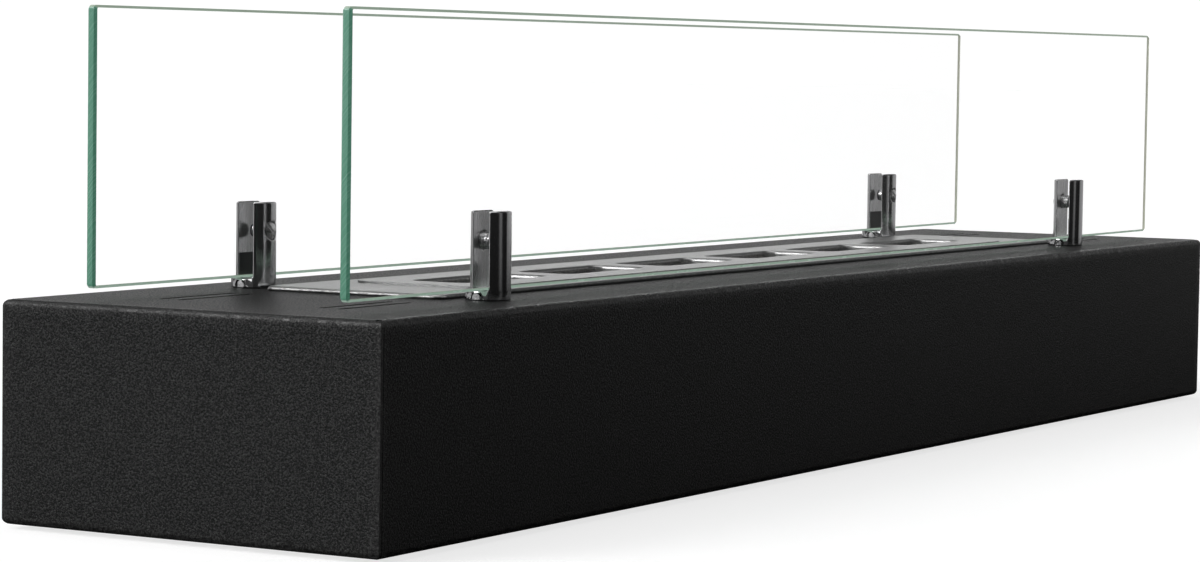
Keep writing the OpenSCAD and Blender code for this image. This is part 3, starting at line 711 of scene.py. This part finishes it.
class FIREPLACE_OT_fibre(Operator):
    """Felted fibre blocks in the tank"""
    bl_idname = "fireplace.fibre"
    bl_label = "Fibre Blocks"

    def execute(self, context):
        settings = context.scene.fireplace_finish
        count, margin = 6, 3 * MM
        node = NODES["fibre_blocks"].data
        co = np.zeros(len(node.vertices) * 3, np.float32)
        node.vertices.foreach_get("co", co)
        x = co[::3]
        low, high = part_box("fibre_blocks")
        pitch = (high[0] - low[0]) / count
        shell = Shell()
        for k in range(count):
            near = x[np.abs(x - low[0] - (k + 0.5) * pitch) < pitch / 2 + margin]
            self.block(shell, near.min(), near.max(), low, high, settings.fibre_nap, k)
        piece = shell.build("fibre_felt", [ceramic_fibre(settings.fibre)])
        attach(piece, "burner")
        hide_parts("fibre_blocks")
        return {"FINISHED"}

    @staticmethod
    def block(shell, x0, x1, low, high, nap, seed):
        """A rounded block: its outline shrinks along a quarter circle at the top rim, then runs in to the
        middle. The top is pushed down by noise of the place, and the sides stay inside the solid."""
        length, width, height = x1 - x0, high[1] - low[1], high[2] - low[2]
        rim, corner, least_corner, bump_size = 4 * MM, 5 * MM, 0.4 * MM, 11 * MM
        reach, side_pull, middle = 0.98, 0.4, (low[1] + high[1]) / 2
        turn = np.linspace(0.0, math.pi / 2, 7)
        wall = np.linspace(0, height - rim, 7)[:-1]
        inward = np.linspace(rim, width / 2 * reach, 14)[1:]
        inset = np.concatenate([np.zeros(len(wall)), rim * (1 - np.cos(turn)), inward])
        level = np.concatenate([wall, height - rim + rim * np.sin(turn), np.full(len(inward), height)])
        outline = np.stack([round_rect(length - 2 * i, width - 2 * i, max(corner - i, least_corner), 10)
                            for i in inset])
        heights = np.broadcast_to(level[:, None, None], (*outline.shape[:2], 1))
        p = np.concatenate([outline, heights], axis=2)
        p += np.array([(x0 + x1) / 2, middle, low[2]])
        bumps = uneven(p, bump_size, seed)
        sink = np.clip((level - (height - rim)) / rim, 0.0, 1.0)[:, None]
        p[..., 2] -= nap * (1.0 + bumps) * sink
        pull = 1.0 - side_pull * nap / width * (1.0 + np.clip(bumps, -1, 1)) * (level[:, None] > 0)
        p[..., 1] = middle + (p[..., 1] - middle) * pull
        shell.grid(p, closed=True)
        shell.flat(p[0])
        shell.flat(p[-1])


def clamp_frame(corner):
    """Middle, radius, foot level and height of a clamp, and the sign of Y towards its burner side."""
    low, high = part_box("clamp_" + corner)
    side = 1.0 if "front" in corner else -1.0
    cx, cy = (low[0] + high[0]) / 2, (low[1] + high[1]) / 2
    return cx, cy, (high[0] - low[0]) / 2, low[2], high[2] - low[2], side


class FIREPLACE_OT_clamps(Operator):
    """Slotted round clamps with polished edges"""
    bl_idname = "fireplace.clamps"
    bl_label = "Clamps"

    def execute(self, context):
        chrome = context.scene.fireplace_finish.chrome
        finishes = [chrome_plate(chrome), milled_chrome(chrome)]
        for corner in CORNERS:
            piece = self.clamp(corner, context.scene.fireplace_clamp, finishes)
            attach(piece, "housing")
            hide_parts("clamp_" + corner)
        return {"FINISHED"}

    @staticmethod
    def clamp(corner, settings, finishes):
        """A round bar (R cos a, R sin a, z) with a slot along X. The slot's profile is y = g down to a
        quarter circle of the fillet, then the flat floor, and each row of the bar's wall starts at the
        angle asin(y / R) of the profile's y. The jaw on the burner side has a round hole whose rim blends
        into a square of the wall's grid."""
        cx, cy, radius, base, height, side = clamp_frame(corner)
        gap, foot, half, fillet = 5.5 * MM, 4.6 * MM, 5.6 * MM, settings.slot_fillet
        steps, below, beside, first_turn = 12, 4, 2, 0.1
        low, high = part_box("screw_" + corner)
        screw_z = (low[2] + high[2]) / 2 - base
        hole = (high[0] - low[0]) / 2 + settings.bore_gap
        shell = Shell()

        def chord(distance):
            return np.sqrt(radius ** 2 - distance ** 2)

        def place(px, py, pz):
            return np.stack(np.broadcast_arrays(px, py, pz), axis=-1)

        def wall(angles, levels):
            a, b = np.meshgrid(angles, levels)
            return place(radius * np.cos(a), radius * np.sin(a), b)

        # Columns round a jaw and along a slot face, and rows up the jaws
        edge, start = math.asin(gap / radius), math.acos(half / radius)
        wide = radius * math.cos(edge)
        x = np.linspace(half, -half, steps + 1)
        lead = np.concatenate([[edge], np.linspace(edge + first_turn, start, 6)[:-1]])
        jaw = np.concatenate([lead, np.arccos(x / radius), math.pi - lead[::-1]])
        flat_x = np.concatenate([np.linspace(wide, half, beside + 1)[:-1], x,
                                 np.linspace(-half, -wide, beside + 1)[1:]])
        z = np.concatenate([np.linspace(foot + fillet, screw_z - half, below + 1)[:-1],
                            np.linspace(screw_z - half, screw_z + half, steps + 1),
                            np.linspace(screw_z + half, height, 4)[1:]])

        # Rows down the slot's fillet, and the foot below them
        turn = np.linspace(0.0, math.pi / 2, 7)
        slot_y = gap - fillet + fillet * np.sin(turn)
        slot_z = foot + fillet - fillet * np.cos(turn)
        spread = (math.pi / 2 - np.arcsin(slot_y / radius)) / (math.pi / 2 - edge)
        angles = math.pi / 2 + (jaw - math.pi / 2) * spread[:, None]
        low_jaw = place(radius * np.cos(angles), radius * np.sin(angles), slot_z[:, None])
        low_slot = place(flat_x * (chord(slot_y) / wide)[:, None], slot_y[:, None], slot_z[:, None])
        for turned in (np.ones(3), np.array([-1.0, -1.0, 1.0])):
            shell.grid(low_jaw * turned)
            shell.grid(low_slot * turned)
        across = np.linspace(-1.0, 1.0, 7) * math.asin(slot_y[0] / radius)
        inner = across[1:-1]
        around = np.concatenate([angles[0], inner + math.pi, angles[0] + math.pi, inner + 2 * math.pi])
        foot_wall = wall(around, [0.0, foot])
        shell.grid(foot_wall, closed=True)
        shell.flat(foot_wall[0])

        # Jaws and slot faces, the burner side's with a square left out for the screw's hole
        skip = np.zeros((len(z) - 1, len(jaw) - 1), bool)
        skip[below:below + steps, len(lead):len(lead) + steps] = True
        shell.grid(wall(jaw, z), skip=skip)
        shell.grid(wall(jaw + math.pi, z))
        fx, fz = np.meshgrid(flat_x, z)
        skip = np.zeros((len(z) - 1, len(flat_x) - 1), bool)
        skip[below:below + steps, beside:beside + steps] = True
        shell.grid(place(fx, gap, fz), slot=1, skip=skip)
        shell.grid(place(fx, -gap, fz), slot=1)

        # The hole
        patch_x, patch_z = hole_patch(0.0, screw_z, half, hole, steps, 2)
        shell.grid(place(patch_x, chord(patch_x), patch_z), closed=True)
        shell.grid(place(patch_x, gap, patch_z), slot=1, closed=True)
        rim_x, rim_z = patch_x[-1], patch_z[-1]
        shell.grid(np.stack([place(rim_x, gap, rim_z), place(rim_x, chord(rim_x), rim_z)]), closed=True)

        # Tops of the jaws and floor of the slot
        top = np.concatenate([wall(jaw, [height])[0], place(flat_x[1:-1][::-1], gap, height)])
        shell.flat(top)
        shell.flat(top * MIRROR)
        floor_edge = low_slot[0, 1:-1]
        shell.flat(np.concatenate([wall(across, [foot])[0], floor_edge, wall(across + math.pi, [foot])[0],
                                   floor_edge[::-1] * MIRROR]))
        shell.move(side, (cx, cy, base))
        return rounded(shell.build("clamp_%s_post" % corner, finishes), settings.edge_round)


class FIREPLACE_OT_clamp_screws(Operator):
    """Threaded clamp screws with a domed, slotted end"""
    bl_idname = "fireplace.clamp_screws"
    bl_label = "Clamp Screws"

    def execute(self, context):
        metal = screw_plate()
        for corner in CORNERS:
            piece = self.screw(corner, context.scene.fireplace_clamp, metal)
            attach(piece, "clamp_screw_" + corner)
            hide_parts("screw_" + corner)
        return {"FINISHED"}

    @staticmethod
    def screw(corner, settings, metal):
        """Thread: the radius falls from crest to root with the distance from the helix
        y = pitch * angle / turn. End: a disc of chords (u sqrt(R^2 - v^2), v) lifted by a dome, with the
        band |v| < w/2 sunk to the slot floor."""
        cx, cy, *_, side = clamp_frame(corner)
        clearance, bevel, rise, slot_depth = 0.04 * MM, 0.9 * MM, 0.7 * MM, 0.9 * MM
        skirt_length, overlap = 1.9 * MM, 0.3 * MM
        root, crest, columns, rows_in_turn, arc_rows = 0.25, 0.875, 56, 14, 15
        low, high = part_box("screw_" + corner)
        radius = (high[0] - low[0]) / 2 - clearance
        level = (low[2] + high[2]) / 2
        reach = np.sort([side * (low[1] - cy), side * (high[1] - cy)])
        tip, top = float(reach[0]), float(reach[1])
        rim = top - rise
        shoulder = rim - skirt_length
        shell = Shell()

        # Thread
        turns = (shoulder - tip) / settings.thread_pitch
        along = np.linspace(tip, shoulder, int(turns * rows_in_turn) + 1)
        a, y = np.meshgrid(np.linspace(0.0, 2 * math.pi, columns, endpoint=False), along)
        phase = np.mod(y / settings.thread_pitch - a / (2 * math.pi), 1.0)
        cut = np.clip((crest - np.abs(2 * phase - 1)) / (crest - root), 0.0, 1.0)
        r = np.minimum(radius - settings.thread_depth * cut, radius - bevel + (y - tip))
        body = np.stack([r * np.cos(a), y, -r * np.sin(a)], axis=2)
        shell.grid(body, closed=True)
        shell.flat(body[0])
        shell.flat(body[-1])

        # Domed end with its driver slot
        w = settings.driver_width / 2
        band = np.concatenate([np.linspace(-radius, -w, arc_rows), np.linspace(-w, w, 4),
                               np.linspace(w, radius, arc_rows)])
        sunk = np.zeros(len(band), bool)
        sunk[arc_rows:-arc_rows] = True
        u = np.linspace(-1.0, 1.0, 25)
        chord = np.sqrt(np.maximum(radius ** 2 - band ** 2, 0.0))
        px, pz = chord[:, None] * u, np.broadcast_to(band[:, None], (len(band), len(u)))
        bow = (radius ** 2 + rise ** 2) / (2 * rise)
        dome = rim + np.sqrt(bow ** 2 - px ** 2 - pz ** 2) - (bow - rise)
        py = np.where(sunk[:, None], rim - slot_depth, dome)
        lean = settings.driver_angle
        across = np.array([math.cos(lean), 0.0, -math.sin(lean)])
        upright = np.array([math.sin(lean), 0.0, math.cos(lean)])
        end = px[..., None] * upright + pz[..., None] * across + py[..., None] * np.array([0.0, 1.0, 0.0])
        shell.grid(end)

        # Skirt from the dome's rim down over the thread's end
        skirt = []
        for column in (end[:, -1], end[:, 0]):
            foot = column.copy()
            foot[:, 1] = shoulder - overlap
            shell.grid(np.stack([column, foot]))
            skirt.append(foot)
        shell.flat(np.concatenate([skirt[0], skirt[1][::-1][1:-1]]))
        shell.move(side, (cx, cy, level))
        return shell.build("clamp_screw_%s_thread" % corner, [metal])


class FIREPLACE_OT_panes(Operator):
    """Clear panes with ground green edges"""
    bl_idname = "fireplace.panes"
    bl_label = "Glass Panes"

    def execute(self, context):
        glass = context.scene.fireplace_glass
        face, edge = pane_face(), pane_edge(glass)
        for node, body in (("front_pane", "pane_front"), ("rear_pane", "pane_rear")):
            piece = self.pane(node, glass.arris, face, edge)
            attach(piece, body)
            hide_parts(node)
        return {"FINISHED"}

    @staticmethod
    def pane(node, arris, face, edge):
        """The outline with round corners is carried through the thickness, inset by the arris at both
        faces."""
        corner = 2 * MM
        low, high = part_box(node)
        length, height, thick = high[0] - low[0], high[2] - low[2], high[1] - low[1]
        rings = []
        for inset, depth in ((arris, 0.0), (0.0, arris), (0.0, thick - arris), (arris, thick)):
            ring = round_rect(length - 2 * inset, height - 2 * inset, corner - inset)
            rings.append(np.stack([(low[0] + high[0]) / 2 + ring[:, 0], np.full(len(ring), low[1] + depth),
                                   (low[2] + high[2]) / 2 + ring[:, 1]], axis=1))
        rings = np.stack(rings)
        shell = Shell()
        shell.grid(rings, slot=1, closed=True)
        shell.flat(rings[0])
        shell.flat(rings[-1])
        piece = shell.build(node + "_glass", [face, edge])
        piece.data.polygons.foreach_set("use_smooth", [False] * len(piece.data.polygons))
        return piece


class FIREPLACE_OT_feet(Operator):
    """Moulded rubber feet with grooved soles"""
    bl_idname = "fireplace.feet"
    bl_label = "Feet"

    def execute(self, context):
        low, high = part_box("feet")
        radius, height = 12 * MM, high[2] - low[2]
        shell = Shell()
        for sx in (-1, 1):
            for sy in (-1, 1):
                self.foot(shell, sx * (high[0] - radius), sy * (high[1] - radius), radius, height)
        piece = shell.build("rubber_feet", [moulded_rubber(context.scene.fireplace_finish.rubber)])
        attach(piece, "housing")
        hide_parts("feet")
        return {"FINISHED"}

    @staticmethod
    def foot(shell, cx, cy, radius, height):
        """A turned profile: the sole is a cosine of the radius, so rings stand down to the floor between
        grooves, and its rim is a quarter circle."""
        rim, groove, rings, fade, columns = 1.0 * MM, 0.35 * MM, 4.5, 6, 64
        r = np.linspace(0.0, radius - rim, 61)
        sole = groove * (0.5 - 0.5 * np.cos(r / radius * 2 * math.pi * rings)) ** 2
        sole[-fade:] *= np.linspace(1.0, 0.0, fade)
        turn = np.linspace(-math.pi / 2, 0.0, 7)[1:]
        pr = np.concatenate([r, radius - rim + rim * np.cos(turn), [radius, 0.0]])
        pz = np.concatenate([sole, rim + rim * np.sin(turn), [height, height]])
        a = np.linspace(0.0, 2 * math.pi, columns, endpoint=False)
        shell.grid(np.stack([cx + pr[:, None] * np.cos(a), cy + pr[:, None] * np.sin(a),
                             np.broadcast_to(pz[:, None], (len(pz), len(a)))], axis=2), closed=True)


def stand(thing, right, up, back, place=(0.0, 0.0, 0.0)):
    """Turns an object to its three axes, moves it to its place and puts it in the scene."""
    thing.matrix_world = Matrix((*zip(right, up, back, place), (0.0, 0.0, 0.0, 1.0)))
    bpy.context.scene.collection.objects.link(thing)


def seen_directly(g, rays):
    """One for a ray from the camera, also after it has passed a pane, and zero after any reflection."""
    straight = g.math("ADD", rays["Is Camera Ray"], rays["Is Transmission Ray"], clamp=True)
    bounced = g.math("ADD", rays["Glossy Depth"], rays["Diffuse Depth"], clamp=True)
    return g.times(straight, g.math("SUBTRACT", 1.0, bounced))


class FIREPLACE_OT_stage(Operator):
    """Camera, soft studio light and pale floor"""
    bl_idname = "fireplace.stage"
    bl_label = "Stage"

    def execute(self, context):
        scene = context.scene
        settings = scene.fireplace_stage
        scene.view_settings.view_transform = "Standard"
        self.camera(scene, settings)
        self.floor(scene, settings)
        self.world(scene, settings)
        self.lamp("key_lamp", way=(-0.76, 0.42, 0.50), strength=settings.key, spread=30.0)
        self.lamp("top_lamp", way=(0.05, 0.25, 0.97), strength=settings.top, spread=60.0)
        return {"FINISHED"}

    @staticmethod
    def camera(scene, settings):
        """The camera fitted to the photograph's edges, by its axes and its place."""
        data = bpy.data.cameras.new("camera")
        data.sensor_width = 36.0
        data.lens = settings.lens
        data.clip_end = 200.0
        camera = bpy.data.objects.new("camera", data)
        stand(camera, right=(0.501184, -0.865220, 0.014482), up=(0.045422, 0.043016, 0.998041),
              back=(-0.864148, -0.499544, 0.060859), place=(-1.70952, -0.91780, 0.20992))
        scene.camera = camera

    @staticmethod
    def floor(scene, settings):
        """Pale, and lifted to near white where it is seen directly. In a reflection it is nearly black
        round the object and shows the studio's light further off."""
        pale, dark, lift = (0.42, 0.42, 0.42), (0.005, 0.005, 0.005), 0.74
        near_edge, far_edge = 0.8, 3.0
        half = settings.floor_half
        mesh = bpy.data.meshes.new("floor")
        corners = [(-half, -half, 0.0), (half, -half, 0.0), (half, half, 0.0), (-half, half, 0.0)]
        mesh.from_pydata(corners, [], [(0, 1, 2, 3)])
        floor = bpy.data.objects.new("floor", mesh)
        scene.collection.objects.link(floor)
        material = bpy.data.materials.new("pale_floor")
        g = empty_graph(material)
        rays = g.add("ShaderNodeLightPath").outputs
        mirrored = g.math("MINIMUM", rays["Glossy Depth"], 1.0)
        spot = g.add("ShaderNodeNewGeometry").outputs["Position"]
        studio = use(g, studio_group(), Direction=g.vector("NORMALIZE", spot))["Level"]
        far = g.span(g.vector("LENGTH", spot), near_edge, far_edge)
        shown = g.times(g.times(studio, far), mirrored)
        body = g.add("ShaderNodeBsdfDiffuse", {"Color": g.blend(mirrored, pale, dark)})
        strength = g.math("ADD", g.times(seen_directly(g, rays), lift), shown)
        glow = g.add("ShaderNodeEmission", {"Color": WHITE, "Strength": strength})
        both = g.add("ShaderNodeAddShader", {0: body.outputs[0], 1: glow.outputs[0]})
        g.add("ShaderNodeOutputMaterial", {"Surface": both.outputs[0]})
        mesh.materials.append(material)

    @staticmethod
    def world(scene, settings):
        """White to the eye and through glass. The object is lit by the studio's light round it."""
        world = bpy.data.worlds.new("studio")
        g = empty_graph(world)
        rays = g.add("ShaderNodeLightPath").outputs
        way = g.add("ShaderNodeTexCoord").outputs["Generated"]
        studio = use(g, studio_group(), Direction=way)["Level"]
        level = g.most(seen_directly(g, rays), g.math("ADD", studio, settings.fill))
        light = g.add("ShaderNodeBackground", {"Color": WHITE, "Strength": level})
        g.add("ShaderNodeOutputWorld", {"Surface": light.outputs[0]})
        scene.world = world

    @staticmethod
    def lamp(name, way, strength, spread):
        """A soft far lamp that shines from the given way: its Z axis is that way."""
        data = bpy.data.lights.new(name, "SUN")
        data.energy = strength
        data.angle = math.radians(spread)
        back = np.array(way) / np.linalg.norm(way)
        side = np.cross((0.0, 1.0, 0.0), back)
        side /= np.linalg.norm(side)
        stand(bpy.data.objects.new(name, data), side, np.cross(back, side), back)


class FIREPLACE_PT_sidebar(Panel):
    """Lists the fireplace's pieces and settings"""
    bl_idname = "FIREPLACE_PT_sidebar"
    bl_label = "Fireplace"
    bl_space_type = "VIEW_3D"
    bl_region_type = "UI"
    bl_category = "Fireplace"

    def draw(self, context):
        column = self.layout.column(align=True)
        for operator in OPERATORS:
            column.operator(operator.bl_idname)
        for name, kind in SETTINGS:
            box = self.layout.box()
            box.label(text=name.replace("fireplace_", "").title())
            for key in kind.__annotations__:
                box.prop(getattr(context.scene, name), key)


OPERATORS = (FIREPLACE_OT_casing, FIREPLACE_OT_inner_metal, FIREPLACE_OT_burner, FIREPLACE_OT_fibre,
             FIREPLACE_OT_clamps, FIREPLACE_OT_clamp_screws, FIREPLACE_OT_panes, FIREPLACE_OT_feet,
             FIREPLACE_OT_stage)
SETTINGS = (("fireplace_clamp", ClampSettings), ("fireplace_glass", GlassSettings),
            ("fireplace_finish", FinishSettings), ("fireplace_stage", StageSettings))


def register():
    for name, kind in SETTINGS:
        bpy.utils.register_class(kind)
        setattr(bpy.types.Scene, name, PointerProperty(type=kind))
    for kind in OPERATORS + (FIREPLACE_PT_sidebar,):
        bpy.utils.register_class(kind)


def unregister():
    for kind in reversed(OPERATORS + (FIREPLACE_PT_sidebar,)):
        bpy.utils.unregister_class(kind)
    for name, kind in reversed(SETTINGS):
        delattr(bpy.types.Scene, name)
        bpy.utils.unregister_class(kind)


def main():
    register()
    for operator in OPERATORS:
        getattr(bpy.ops.fireplace, operator.bl_idname.split(".")[1])()


if __name__ == "__main__":
    main()
